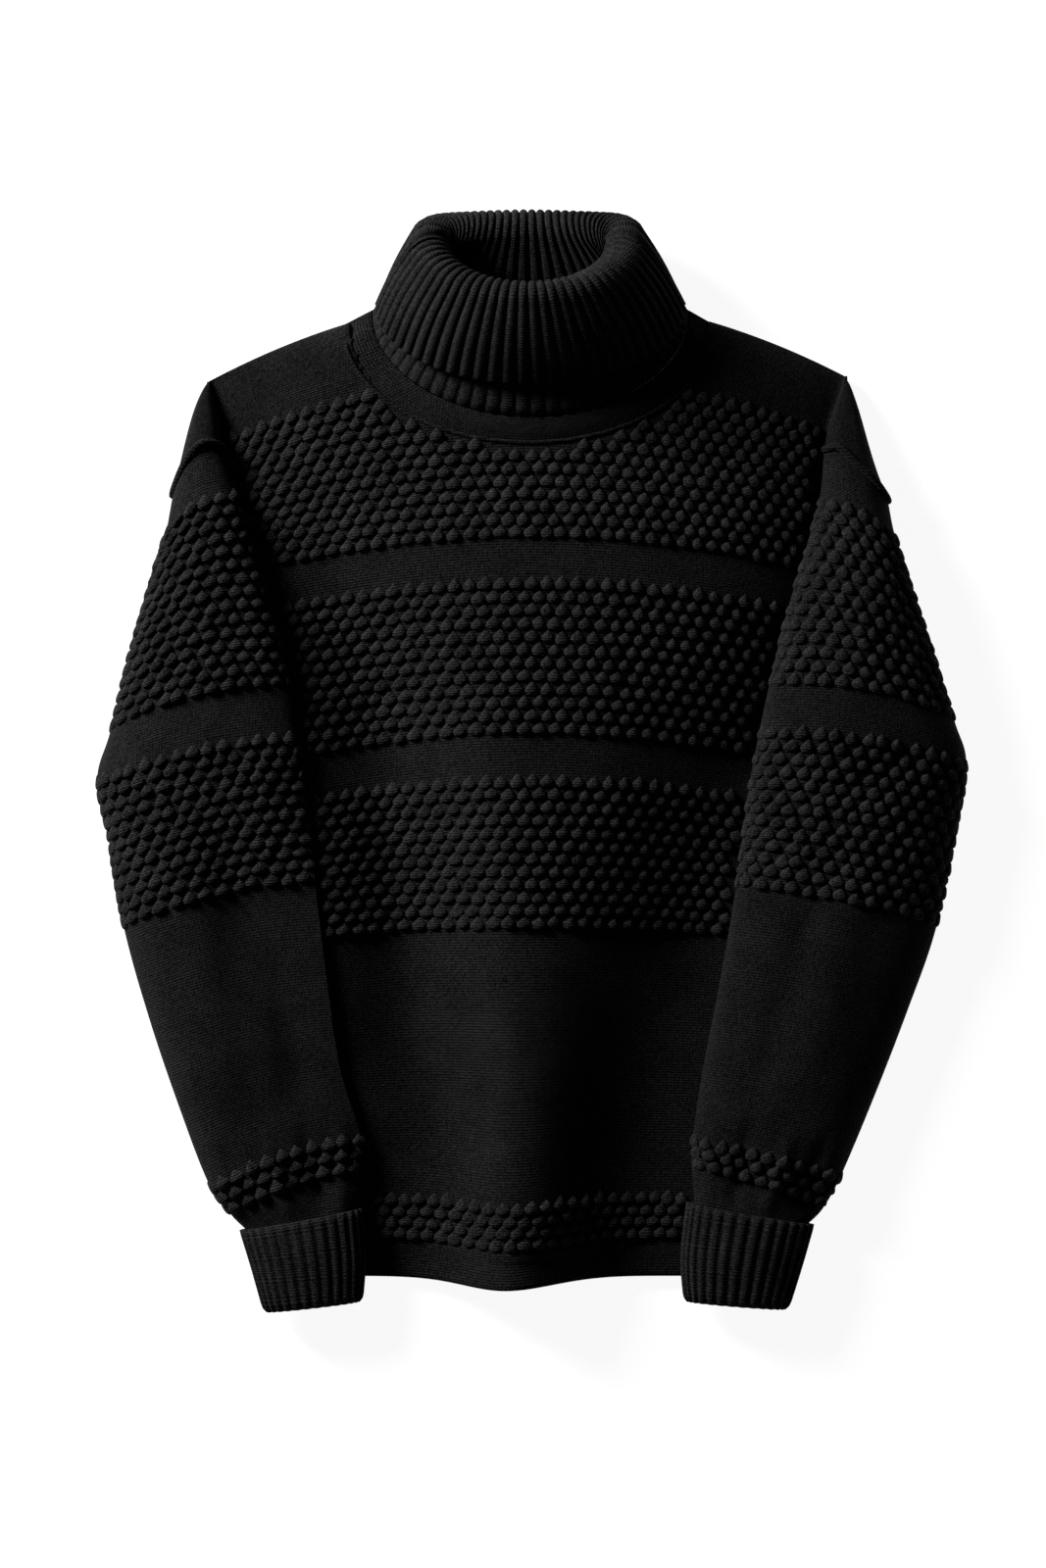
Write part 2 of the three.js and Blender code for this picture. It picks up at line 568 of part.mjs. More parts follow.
// Collar: up from its foot, over the turn at the rim and down again on the outside
function makeCollar() {
  const columnCount = COLLAR_RIBS * 2;
  const standing = [0, 0.4];
  const turning = [0, 0.25, 0.5, 0.75, 1];
  const lying = [0.33, 0.67, 1];
  const loopCount = standing.length + turning.length + lying.length;
  const sheet = gridSheet(loopCount, columnCount, true, (_, j, i) => {
    const turn = 1 - j / columnCount;
    const foot = ringPoint(NECK_RINGS.base, turn);
    const rim = ringPoint(NECK_RINGS.rim, turn);
    const edge = ringPoint(NECK_RINGS.edge, turn);
    const forward = Math.sin(turn * 2 * Math.PI);
    const far = forward > 0 ? COLLAR_FOLD.front : COLLAR_FOLD.back;
    const radius = THREE.MathUtils.lerp(COLLAR_FOLD.side, far, forward * forward);
    const up = rim.clone().sub(foot).normalize();
    const step = 0.01;
    const tangent = ringPoint(NECK_RINGS.rim, turn + step).sub(ringPoint(NECK_RINGS.rim, turn - step));
    const out = up.clone().cross(tangent).normalize();
    const centre = rim.clone().addScaledVector(up, -radius);
    const inside = centre.clone().addScaledVector(out, -radius);
    const outside = centre.clone().addScaledVector(out, radius);
    if (i < standing.length) return foot.lerp(inside, standing[i]);
    if (i < standing.length + turning.length) {
      const angle = Math.PI * turning[i - standing.length];
      return centre.addScaledVector(out, -radius * Math.cos(angle))
        .addScaledVector(up, radius * Math.sin(angle));
    }
    const share = lying[i - standing.length - turning.length];
    const belly = COLLAR_BELLY * Math.sin(Math.PI * share) * (1 + forward) / 2;
    return outside.lerp(edge, share).addScaledVector(out, belly);
  });
  const ribbed = (i, from, to) => {
    const turn = 1 - (i % columnCount) / columnCount;
    const fade = THREE.MathUtils.smoothstep(Math.sin(turn * 2 * Math.PI), from, to);
    return i % 2 ? WALL / 2 : WALL / 2 + COLLAR_RIB_DEPTH * fade;
  };
  const outside = (i) => ribbed(i, -0.9, -0.4);
  const atFoot = (i) => (i < standing.length * columnCount ? ribbed(i, 0, 0.3) : WALL / 2);
  return wallFromSheet(sheet, atFoot, outside);
}

// Assembly, from the back upwards
const sweater = new THREE.Group();

function addPiece(name, geometry) {
  const piece = new THREE.Mesh(geometry, KNIT.clone());
  piece.name = name;
  sweater.add(piece);
}

addPiece('back_panel', makeBackPanel());
addPiece('front_panel', makeFrontPanel());
addPiece('left_sleeve', makeSleeve('left'));
addPiece('right_sleeve', makeSleeve('right'));
addPiece('left_cuff', makeCuff(CUFFS.left));
addPiece('right_cuff', makeCuff(CUFFS.right));
addPiece('neck_band', makeNeckBand());
addPiece('collar', makeCollar());

// The origin is under the middle of the garment
const box = new THREE.Box3().setFromObject(sweater);
const middle = box.getCenter(new THREE.Vector3());
sweater.position.set(-middle.x, -middle.y, -box.min.z);
sweater.updateMatrixWorld(true);

export default sweater;
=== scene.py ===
import math

import bpy
import numpy as np
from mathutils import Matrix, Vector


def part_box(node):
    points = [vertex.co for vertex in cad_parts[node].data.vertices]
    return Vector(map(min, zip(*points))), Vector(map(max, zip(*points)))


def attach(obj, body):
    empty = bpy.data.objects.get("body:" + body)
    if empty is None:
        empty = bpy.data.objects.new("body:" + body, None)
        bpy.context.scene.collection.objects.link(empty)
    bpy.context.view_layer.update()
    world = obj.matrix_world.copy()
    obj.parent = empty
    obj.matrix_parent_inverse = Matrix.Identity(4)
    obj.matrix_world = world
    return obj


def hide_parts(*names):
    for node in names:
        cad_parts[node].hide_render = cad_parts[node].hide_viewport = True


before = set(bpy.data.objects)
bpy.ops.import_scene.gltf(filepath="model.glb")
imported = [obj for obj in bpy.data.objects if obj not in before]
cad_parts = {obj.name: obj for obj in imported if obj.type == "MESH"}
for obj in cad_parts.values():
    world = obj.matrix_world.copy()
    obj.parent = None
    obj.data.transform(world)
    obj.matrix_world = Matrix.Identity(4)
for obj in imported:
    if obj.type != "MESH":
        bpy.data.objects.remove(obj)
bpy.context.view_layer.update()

# Table, light and camera. The sweater lies on a white light table and is seen from straight above,
# lit low from beyond its upper left corner by one large lamp, with little light from elsewhere.
MM = 0.001
VIEW_CENTRE = (-6.2 * MM, -15.3 * MM)
VIEW_HEIGHT = 1104 * MM
CAMERA_ABOVE = 3.0
SENSOR = 36.0

camera_data = bpy.data.cameras.new("camera")
camera_data.sensor_width = SENSOR
camera_data.lens = SENSOR * CAMERA_ABOVE / VIEW_HEIGHT
camera_data.clip_end = 20
camera = bpy.data.objects.new("camera", camera_data)
camera.location = (*VIEW_CENTRE, CAMERA_ABOVE)
bpy.context.collection.objects.link(camera)
bpy.context.scene.camera = camera

FLOOR_HALF = 4.0
floor_mesh = bpy.data.meshes.new("table_top")
floor_corners = [(-FLOOR_HALF, -FLOOR_HALF, 0), (FLOOR_HALF, -FLOOR_HALF, 0),
                 (FLOOR_HALF, FLOOR_HALF, 0), (-FLOOR_HALF, FLOOR_HALF, 0)]
floor_mesh.from_pydata(floor_corners, [], [(0, 1, 2, 3)])
floor = bpy.data.objects.new("table_top", floor_mesh)
bpy.context.collection.objects.link(floor)
floor_paint = bpy.data.materials.new("white_table")
floor_paint.use_nodes = True
floor_shader = floor_paint.node_tree.nodes["Principled BSDF"]
floor_shader.inputs["Base Color"].default_value = (0.14, 0.14, 0.14, 1)
floor_shader.inputs["Roughness"].default_value = 0.9
floor_shader.inputs["Emission Color"].default_value = (1, 1, 1, 1)
floor_shader.inputs["Emission Strength"].default_value = 0.93
floor_mesh.materials.append(floor_paint)

LAMP_PLACE = (-1.75, 1.35, 0.82)
LAMP_SIZE = 0.7
LAMP_POWER = 180
lamp_data = bpy.data.lights.new("window_lamp", "AREA")
lamp_data.size = LAMP_SIZE
lamp_data.energy = LAMP_POWER
lamp = bpy.data.objects.new("window_lamp", lamp_data)
lamp.location = LAMP_PLACE
lamp.rotation_euler = (-lamp.location).to_track_quat("-Z", "Y").to_euler()
bpy.context.collection.objects.link(lamp)

ROOM_LIGHT = 0.04
room = bpy.data.worlds.new("pale_room")
room.use_nodes = True
room.node_tree.nodes["Background"].inputs["Color"].default_value = (1, 1, 1, 1)
room.node_tree.nodes["Background"].inputs["Strength"].default_value = ROOM_LIGHT
bpy.context.scene.world = room
bpy.context.scene.view_settings.view_transform = "Standard"


# Back panel. Heavy black wool, knitted plain, with the bobble bands of the front running round it;
# it lies flat on the table, its bobbles pressed flat under the weight of the garment.
WALL = 2.6
BACK_TOP = WALL
REST_TOP = 6.0
HALF_CHEST = 226
HEM_Y = -362

COURSES = {
    "y": [330, 273, 150, 10, -115, -250, HEM_Y],
    "droop": [60, 47, 29, 31, 17, 5, 0],
}
BODY_SIDES = {
    "y": [270, 225, 120, 56, -100, -230, HEM_Y],
    "left": [-226, -217, -211, -216, -208, -199, -190],
    "right": [219, 206, 209, 214, 206, 194, 183],
}
SEAMS = {
    "left": {"at": [0, 1, 2, 3, 4], "x": [-216, -226, -235, -243, -252],
             "y": [222, 226, 221, 209, 189]},
    "right": {"at": [0, 1, 2, 3, 4], "x": [205, 214, 225, 238, 250],
              "y": [221, 222, 211, 200, 185]},
}
CAP_BULGE = {"left": -5, "right": 2}
CAP_BULGE_TOP = 0.6
CAP_WIDTH = 58
HEM_WAVE = {"x": -22, "reach": 45, "low": 7, "high": 3, "from": -180}
CAP_STEPS = 16
CAP_LAST_ROW = 0.05
BACK_NECK_Y = 312

low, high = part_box("back_panel")
ORIGIN_X = (low[0] + high[0]) / 2 / MM + 1
ORIGIN_Y = high[1] / MM - BACK_NECK_Y


def smooth(table, key, at, column):
    """A column of a short table, read at places in another column as a smooth curve."""
    places = np.array(table[key], float)
    values = np.array(table[column], float)
    if places[0] > places[-1]:
        places, values = places[::-1], values[::-1]
    at = np.clip(at, places[0], places[-1])
    i = np.clip(np.searchsorted(places, at) - 1, 0, len(places) - 2)
    before = np.maximum(i - 1, 0)
    after = np.minimum(i + 2, len(places) - 1)
    span = places[i + 1] - places[i]
    f = (at - places[i]) / span
    start = (values[i + 1] - values[before]) / (places[i + 1] - places[before]) * span
    end = (values[after] - values[i]) / (places[after] - places[i]) * span
    return ((2 * f**3 - 3 * f**2 + 1) * values[i] + (f**3 - 2 * f**2 + f) * start
            + (3 * f**2 - 2 * f**3) * values[i + 1] + (f**3 - f**2) * end)


def smoothstep(value, start, end):
    f = np.clip((value - start) / (end - start), 0, 1)
    return f * f * (3 - 2 * f)


def body_side(y, x):
    """The side edge of the body at a height, on the side that x is on."""
    return np.where(x < 0, smooth(BODY_SIDES, "y", y, "left"), smooth(BODY_SIDES, "y", y, "right"))


def body_plan(across, course):
    """Plan place of a stitch of a body panel; across is -1 at the left edge and 1 at the right."""
    across, course = np.broadcast_arrays(np.asarray(across, float), np.asarray(course, float))
    droop = smooth(COURSES, "y", course, "droop")
    x = across * HALF_CHEST
    for _ in range(6):
        y = course - droop * (x / HALF_CHEST) ** 2
        x = np.abs(across) * body_side(y, across)
    near_hem = 1 - smoothstep(course, HEM_Y, HEM_WAVE["from"])
    low = HEM_WAVE["low"] * np.exp(-(((x - HEM_WAVE["x"]) / HEM_WAVE["reach"]) ** 2))
    return x, y + near_hem * (HEM_WAVE["high"] - low)


def face_normals(points, faces):
    """Normals of a sheet's points from the faces round them."""
    a, b, c, d = (points[faces[:, k]] for k in range(4))
    normal = np.cross(c - a, d - b)
    total = np.zeros_like(points)
    for k in range(4):
        np.add.at(total, faces[:, k], normal)
    return total / np.maximum(np.linalg.norm(total, axis=1, keepdims=True), 1e-12)


def grid_faces(rows, columns, closed=False):
    """Faces between the points of a grid, numbered row by row; a closed grid runs all round."""
    i = np.arange(rows - 1)[:, None] * columns
    j = np.arange(columns if closed else columns - 1)[None, :]
    k = (j + 1) % columns
    return np.stack([i + j, i + k, i + columns + k, i + columns + j], axis=-1).reshape(-1, 4)


def add_mesh(name, points, faces, coords, material):
    """Mesh object from points in millimetres of the pattern's frame, with knit coordinates."""
    mesh = bpy.data.meshes.new(name)
    placed = (points + np.array([ORIGIN_X, ORIGIN_Y, 0])) * MM
    rows = [face[:3] if face[2] == face[3] else face for face in faces.tolist()]
    mesh.from_pydata(placed.tolist(), [], rows)
    layer = mesh.uv_layers.new(name="knit")
    corners = np.empty(len(mesh.loops), int)
    mesh.loops.foreach_get("vertex_index", corners)
    layer.data.foreach_set("uv", coords[corners].astype(np.float32).ravel())
    mesh.polygons.foreach_set("use_smooth", np.ones(len(mesh.polygons), bool))
    mesh.materials.append(material)
    mesh.update()
    piece = bpy.data.objects.new(name, mesh)
    bpy.context.collection.objects.link(piece)
    return piece


def add_wall(name, points, faces, coords, above, below, material, floor_at=0.0):
    """Closed knitted wall: the sheet's points moved out and in, and its edges joined."""
    normals = face_normals(points, faces)
    outer = points + normals * np.reshape(above, (-1, 1))
    inner = points - normals * np.reshape(below, (-1, 1))
    both = np.concatenate([outer, inner])
    both[:, 2] = np.maximum(both[:, 2], floor_at)
    count = len(points)
    edges = np.concatenate([faces[:, [k, (k + 1) % 4]] for k in range(4)])
    edges = edges[edges[:, 0] != edges[:, 1]]
    keys = edges[:, 0] * count + edges[:, 1]
    back = edges[:, 1] * count + edges[:, 0]
    rim = edges[~np.isin(keys, back)]
    rim_faces = np.stack([rim[:, 1], rim[:, 0], rim[:, 0] + count, rim[:, 1] + count], axis=1)
    under = faces[:, ::-1] + count
    flipped = faces[:, 2] == faces[:, 3]
    under[flipped] = faces[flipped][:, [2, 1, 0, 0]] + count
    all_faces = np.concatenate([faces, under, rim_faces])
    used = np.unique(all_faces)
    renumber = np.full(len(both), -1)
    renumber[used] = np.arange(len(used))
    both_coords = np.concatenate([coords, coords])
    return add_mesh(name, both[used], renumber[all_faces], both_coords[used], material)


def knit_material(name, base, wale, course, depth, fuzz):
    """Black wool: fine courses and wales along the cloth, uneven yarn and a soft nap."""
    material = bpy.data.materials.new(name)
    material.use_nodes = True
    nodes, links = material.node_tree.nodes, material.node_tree.links
    shader = nodes["Principled BSDF"]
    shader.inputs["Roughness"].default_value = 0.9
    shader.inputs["Specular IOR Level"].default_value = 0.03
    shader.inputs["Sheen Weight"].default_value = 0.01
    shader.inputs["Sheen Roughness"].default_value = 0.5

    def math_node(operation, first, second=None, third=None):
        node = nodes.new("ShaderNodeMath")
        node.operation = operation
        for socket, value in zip(node.inputs, (first, second, third)):
            if value is None:
                continue
            if isinstance(value, (int, float)):
                socket.default_value = value
            else:
                links.new(value, socket)
        return node.outputs[0]

    coords = nodes.new("ShaderNodeUVMap")
    coords.uv_map = "knit"
    split = nodes.new("ShaderNodeSeparateXYZ")
    links.new(coords.outputs[0], split.inputs[0])
    row_wave = math_node("SINE", math_node("MULTIPLY", split.outputs[1], 2 * math.pi / course))
    shifted = math_node("MULTIPLY_ADD", split.outputs[0], 2 * math.pi / wale,
                        math_node("MULTIPLY", row_wave, 1.6))
    stitch_wave = math_node("SINE", shifted)
    stitches = math_node("MULTIPLY_ADD", row_wave, 0.6, math_node("MULTIPLY", stitch_wave, 0.4))

    place = nodes.new("ShaderNodeTexCoord")
    yarn = nodes.new("ShaderNodeTexNoise")
    yarn.inputs["Scale"].default_value = 480
    yarn.inputs["Detail"].default_value = 4
    yarn.inputs["Roughness"].default_value = 0.7
    links.new(place.outputs["Object"], yarn.inputs["Vector"])
    patches = nodes.new("ShaderNodeTexNoise")
    patches.inputs["Scale"].default_value = 45
    patches.inputs["Detail"].default_value = 4
    links.new(place.outputs["Object"], patches.inputs["Vector"])

    height = math_node("MULTIPLY_ADD", yarn.outputs[0], fuzz, math_node("MULTIPLY", stitches, 0.5))
    bump = nodes.new("ShaderNodeBump")
    bump.inputs["Distance"].default_value = depth * MM
    bump.inputs["Strength"].default_value = 0.9
    links.new(height, bump.inputs["Height"])
    links.new(bump.outputs[0], shader.inputs["Normal"])

    tone = math_node("MULTIPLY_ADD", yarn.outputs[0], 0.8, math_node("MULTIPLY", patches.outputs[0], 0.2))
    tone = math_node("MULTIPLY_ADD", stitches, 0.05, tone)
    ramp = nodes.new("ShaderNodeValToRGB")
    ramp.color_ramp.elements[0].position = 0.36
    ramp.color_ramp.elements[0].color = (base * 0.15, base * 0.15, base * 0.15, 1)
    ramp.color_ramp.elements[1].position = 0.66
    ramp.color_ramp.elements[1].color = (base * 2.3, base * 2.3, base * 2.3, 1)
    links.new(tone, ramp.inputs[0])
    links.new(ramp.outputs[0], shader.inputs["Base Color"])
    return material


plain_knit = knit_material("plain_knit", 0.0062, 2.3, 1.9, 2.2, 1.6)


def body_grid(rows, columns, height_at, cap_height):
    """A body panel's points, faces and knit coordinates, with its two shoulder caps."""
    across = np.linspace(1, -1, columns)[None, :]
    x, y = body_plan(across, rows[:, None])
    course = np.broadcast_to(rows[:, None], x.shape)
    points = np.stack([x, y, height_at(x, y, course)], axis=-1).reshape(-1, 3)
    coords = np.stack([np.broadcast_to(across * HALF_CHEST, x.shape), course], axis=-1).reshape(-1, 2)
    faces = grid_faces(len(rows), columns)
    for side, column in (("left", columns - 1), ("right", 0)):
        seam = SEAMS[side]
        corner = points[column]
        out = (1 - np.cos(np.pi * np.arange(1, CAP_STEPS + 1) / CAP_STEPS)) / 2
        seam_x = smooth(seam, "at", out * 4, "x")
        seam_y = smooth(seam, "at", out * 4, "y")
        numbers = [[column] * (CAP_STEPS + 1)]
        share, i = 0.0, 0
        while share < 1:
            i += 1
            inner = points[i * columns + column]
            share = (corner[1] - inner[1]) / (corner[1] - seam["y"][0])
            if share > 1 - CAP_LAST_ROW:
                share = 1.0
                points[i * columns + column, :2] = seam["x"][0], seam["y"][0]
                inner = points[i * columns + column]
            swell = CAP_BULGE[side] * math.sin(math.pi * share**CAP_BULGE_TOP)
            bulge = swell * np.arange(1, CAP_STEPS + 1) / CAP_STEPS
            rise = cap_height(side, out) - inner[2] if cap_height else 0
            row = np.stack([inner[0] + share * (seam_x - seam["x"][0]) + bulge,
                            inner[1] + share * (seam_y - seam["y"][0]),
                            inner[2] + rise * share**0.7 + 0 * out], axis=1)
            numbers.append([i * columns + column] + list(range(len(points), len(points) + CAP_STEPS)))
            points = np.concatenate([points, row])
            wale = np.sign(CAP_BULGE[side]) * (HALF_CHEST + out * CAP_WIDTH)
            coords = np.concatenate([coords, np.stack([wale, 0 * out + rows[i]], axis=1)])
        numbers = np.array(numbers)
        fan = np.stack([numbers[1, :-1] * 0 + column, numbers[1, 1:], numbers[1, :-1], numbers[1, :-1]], 1)
        quads = np.stack([numbers[1:-1, :-1], numbers[1:-1, 1:], numbers[2:, 1:], numbers[2:, :-1]], -1)
        quads = quads.reshape(-1, 4)
        if side == "right":
            fan = fan[:, [0, 2, 1, 1]]
            quads = quads[:, ::-1]
        faces = np.concatenate([faces, fan, quads])
    return points, faces, coords


NECKLINE = {"x": -2, "y": 308, "half": 130, "front": 83, "back": -4}


def trim_neck(points, faces, depth, cell, inset=0):
    """Cuts a panel's neckline: points near it move onto it, and faces within it go; an inset
    leaves that much of the panel under the neck band at each side."""
    points = points.copy()
    half = NECKLINE["half"] - inset
    dx = (points[:, 0] - NECKLINE["x"]) / half
    dy = points[:, 1] - NECKLINE["y"]
    curve = -depth * np.sqrt(np.clip(1 - dx**2, 0, 1))
    if depth > 0:
        reach = np.hypot(dx, dy / depth)
        gap = (reach - 1) * np.hypot(half * dx, dy) / np.maximum(reach, 1e-6)
        near = (np.abs(gap) < cell / 2) & (dy < 2)
        points[near, 0] = NECKLINE["x"] + dx[near] * half / reach[near]
        points[near, 1] = NECKLINE["y"] + dy[near] / reach[near]
    else:
        near = (np.abs(dx) < 1) & (np.abs(dy - curve) < cell / 2)
        points[near, 1] = NECKLINE["y"] + curve[near]
    middle = points[faces].mean(axis=1)
    dx = (middle[:, 0] - NECKLINE["x"]) / half
    curve = -depth * np.sqrt(np.clip(1 - dx**2, 0, 1))
    cut = (np.abs(dx) < 1) & (middle[:, 1] - NECKLINE["y"] > curve)
    return points, faces[~cut]


def flat_height(x, y, course):
    return np.full(np.shape(x), BACK_TOP)


back_rows = np.linspace(COURSES["y"][0], HEM_Y, 150)
back_points, back_faces, back_coords = body_grid(back_rows, 96, flat_height, None)
BACK_CELL = 4.6
back_points, back_faces = trim_neck(back_points, back_faces, NECKLINE["back"], BACK_CELL)
back = add_wall("back_panel_cloth", back_points, back_faces, back_coords, 0, WALL, plain_knit)
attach(back, "root")
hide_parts("back_panel")


# Front panel. The same plain wool knit with three deep bands of staggered bobbles, each bobble
# worked into its own stitch; it lies over the back panel in one soft swell with long folds.
LIFT = 0.6
REST_CLEAR = 12
REST_REACH = 38
SHOULDER_ROUNDING = 34
SEAM_HEIGHT = 27
SLEEVE_FOLD = 5
HEM_LINE_UP = 23.5
HEM_LINE_RISE = 2.4
HEM_LINE_WIDTH = 1.9

VALLEYS = {
    "y": [273, 225, 180, 120, 56, 0, -60, -120, -200, -260, HEM_Y],
    "left": [-222, -215, -202, -185, -168, -162, -154, -147, -138, -121, -118],
    "right": [214, 203, 199, 184, 167, 156, 146, 138, 124, 114, 104],
}
FULLNESS = {
    "y": [330, 224, 150, 50, -50, -150, -240, -285, HEM_Y],
    "crest": [0, -5, -15, -18, -15, -10, -8, -10, -14],
    "height": [24, 23, 28, 31, 33, 34, 35, 35, 33],
    "left": [0.9, 1.2, 2.2, 4.6, 7.0, 9.0, 9.0, 8.5, 8.0],
    "right": [0.9, 0.8, 0.8, 1.0, 1.8, 3.2, 4.6, 4.8, 5.0],
    "nest": [0, 0, 5, 11, 15, 16, 9, 2, 0],
}
NEST_RISE = 36
NEST_FALL = 60
NEST_ROOM = 14
BODY_FOLDS = [
    {"line": (-100, 60, -92, -355), "wide": 12, "high": -1.5},
    {"line": (40, 150, 60, -40), "wide": 26, "high": 1.2},
]
BODY_BANDS = [(273, 157), (130, 20), (-8, -115), (-303, -336)]
BOBBLE_PITCH = 11.5
BOBBLE_ROW = 9.1
BOBBLE_SIZE = (12.2, 8.8, 3.3)


def nest_height(x, y, room):
    """How far the front is pushed up under the inner edge of the left sleeve."""
    edge = smooth(BODY_SIDES, "y", y, "left") - room
    past = x - smooth(VALLEYS, "y", y, "left")
    height = np.maximum(smooth(FULLNESS, "y", y, "nest"), 0)
    return height * smoothstep(x - edge, 0, NEST_RISE) * (1 - smoothstep(past, 0, NEST_FALL))


def rest_height(x, y):
    """Height of what a sleeve or cuff lies on: the body's edge, the table beyond it."""
    inside = np.abs(body_side(y, x)) - np.abs(x)
    over_body = smoothstep(inside, -REST_REACH, -REST_CLEAR)
    return (REST_TOP + LIFT) * over_body + nest_height(x, y, NEST_ROOM)


def seam_height(side, out):
    """Height of the armhole seam, from its inner end at 0 to its outer end at 1."""
    x = smooth(SEAMS[side], "at", out * 4, "x")
    y = smooth(SEAMS[side], "at", out * 4, "y")
    fold = rest_height(x, y) + SLEEVE_FOLD
    return fold + (SEAM_HEIGHT - fold) * np.sqrt(np.clip(4 * out * (1 - out), 0, 1)) ** 0.75


def fold_relief(x, y, folds):
    """Soft ridges and troughs drawn as short lines over the cloth."""
    total = np.zeros_like(x, dtype=float)
    for fold in folds:
        x0, y0, x1, y1 = fold["line"]
        length = math.hypot(x1 - x0, y1 - y0)
        along = ((x - x0) * (x1 - x0) + (y - y0) * (y1 - y0)) / length
        off = ((x - x0) * (y1 - y0) - (y - y0) * (x1 - x0)) / length
        ends = smoothstep(along, -0.18 * length, 0.3 * length) * (
            1 - smoothstep(along, 0.8 * length, 1.15 * length))
        total += fold["high"] * ends * np.exp(-((off / fold["wide"]) ** 2))
    return total


def front_height(x, y, course):
    crest = smooth(FULLNESS, "y", y, "crest")
    valley = np.where(x < crest, smooth(VALLEYS, "y", y, "left"), smooth(VALLEYS, "y", y, "right"))
    narrow = np.where(x < crest, smooth(FULLNESS, "y", y, "left"), smooth(FULLNESS, "y", y, "right"))
    share = np.clip((x - crest) / (valley - crest), 0, 1)
    inset = np.clip((COURSES["y"][0] - course) / SHOULDER_ROUNDING, 0, 1)
    rounding = np.sqrt(np.clip(1 - (1 - inset) ** 2, 0, 1))
    swell = np.clip(1 - share**2, 0, 1) ** narrow * rounding
    z = REST_TOP + nest_height(x, y, 0) + smooth(FULLNESS, "y", y, "height") * swell
    z = z + fold_relief(x, y, BODY_FOLDS) * np.clip(swell * 2.5, 0, 1)
    line = np.exp(-(((course - HEM_Y - HEM_LINE_UP) / HEM_LINE_WIDTH) ** 2))
    return z + HEM_LINE_RISE * line * smoothstep(z, REST_TOP + 0.5, REST_TOP + 3)


def bobble_template():
    """One bobble: a low tuft, drawn together to a point at the top, as rings round its height."""
    rings = [(1.0, -0.3), (0.95, 0.25), (0.77, 0.68), (0.42, 0.95)]
    turns = np.arange(10) * math.pi / 5 + math.pi / 2
    points = []
    for r, h in rings:
        for a in turns:
            top = max(math.sin(a), 0)
            points.append((r * math.cos(a) * (1 - 0.5 * top), r * (math.sin(a) + 0.45 * top**4), h))
    points.append((0, 0.0, 1.02))
    faces = grid_faces(len(rings), len(turns), closed=True).tolist()
    top, count = len(points) - 1, len(turns)
    faces += [[top - count + k, top - count + (k + 1) % count, top, top] for k in range(count)]
    return np.array(points), np.array(faces)


def add_bobbles(name, places, across, along, fullness, material, rng):
    """A band's bobbles as one mesh; across and along are unit directions of the knit at each."""
    shape, shape_faces = bobble_template()
    normal = np.cross(across, along)
    normal /= np.linalg.norm(normal, axis=1, keepdims=True)
    size = np.array(BOBBLE_SIZE) * np.array([0.5, 0.5, 1]) * rng.uniform(0.88, 1.1, (len(places), 3))
    size[:, 2] *= fullness
    turn = rng.uniform(-0.35, 0.35, (len(places), 2))
    local = shape[None] * size[:, None]
    local[..., 0] += local[..., 2] * turn[:, None, 0] * 0.4
    local[..., 1] += local[..., 2] * turn[:, None, 1] * 0.4
    points = (places[:, None] + local[..., 0:1] * across[:, None] + local[..., 1:2] * along[:, None]
              + local[..., 2:3] * normal[:, None])
    points[..., 2] = np.maximum(points[..., 2], 0)
    faces = shape_faces[None] + np.arange(len(places))[:, None, None] * len(shape)
    coords = np.tile(shape[:, :2] * 5, (len(places), 1)) + np.repeat(places[:, :2], len(shape), axis=0)
    return add_mesh(name, points.reshape(-1, 3), faces.reshape(-1, 4), coords, material)


def lattice(top, bottom, left, right):
    """Staggered rows of bobble places between two courses of the knit."""
    count = max(int(round((top - bottom) / BOBBLE_ROW)), 1)
    rows = top - (np.arange(count) + 0.5) * (top - bottom) / count
    steps = np.arange(math.ceil(left / BOBBLE_PITCH) - 1, math.floor(right / BOBBLE_PITCH) + 2)
    shift = (np.arange(count) % 2) / 2
    across = (steps[None, :] + shift[:, None]) * BOBBLE_PITCH
    keep = (across > left) & (across < right)
    return across[keep], np.broadcast_to(rows[:, None], across.shape)[keep]


def body_surface(across_mm, course):
    x, y = body_plan(across_mm / HALF_CHEST, course)
    return np.stack([x, y, front_height(x, y, course)], axis=-1)


front_rows = np.concatenate([COURSES["y"][0] - 14 * np.linspace(0, 1, 8)[:-1] ** 2,
                             np.linspace(COURSES["y"][0] - 14, HEM_Y, 215)])
front_points, front_faces, front_coords = body_grid(front_rows, 140, front_height, seam_height)
FRONT_CELL = 3.4
UNDER_BAND = 2
front_points, front_faces = trim_neck(front_points, front_faces, NECKLINE["front"] - UNDER_BAND,
                                      FRONT_CELL, 2 * UNDER_BAND)
front = add_wall("front_panel_cloth", front_points, front_faces, front_coords, 0, WALL, plain_knit,
                 BACK_TOP + 0.3)
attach(front, "root")
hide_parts("front_panel")
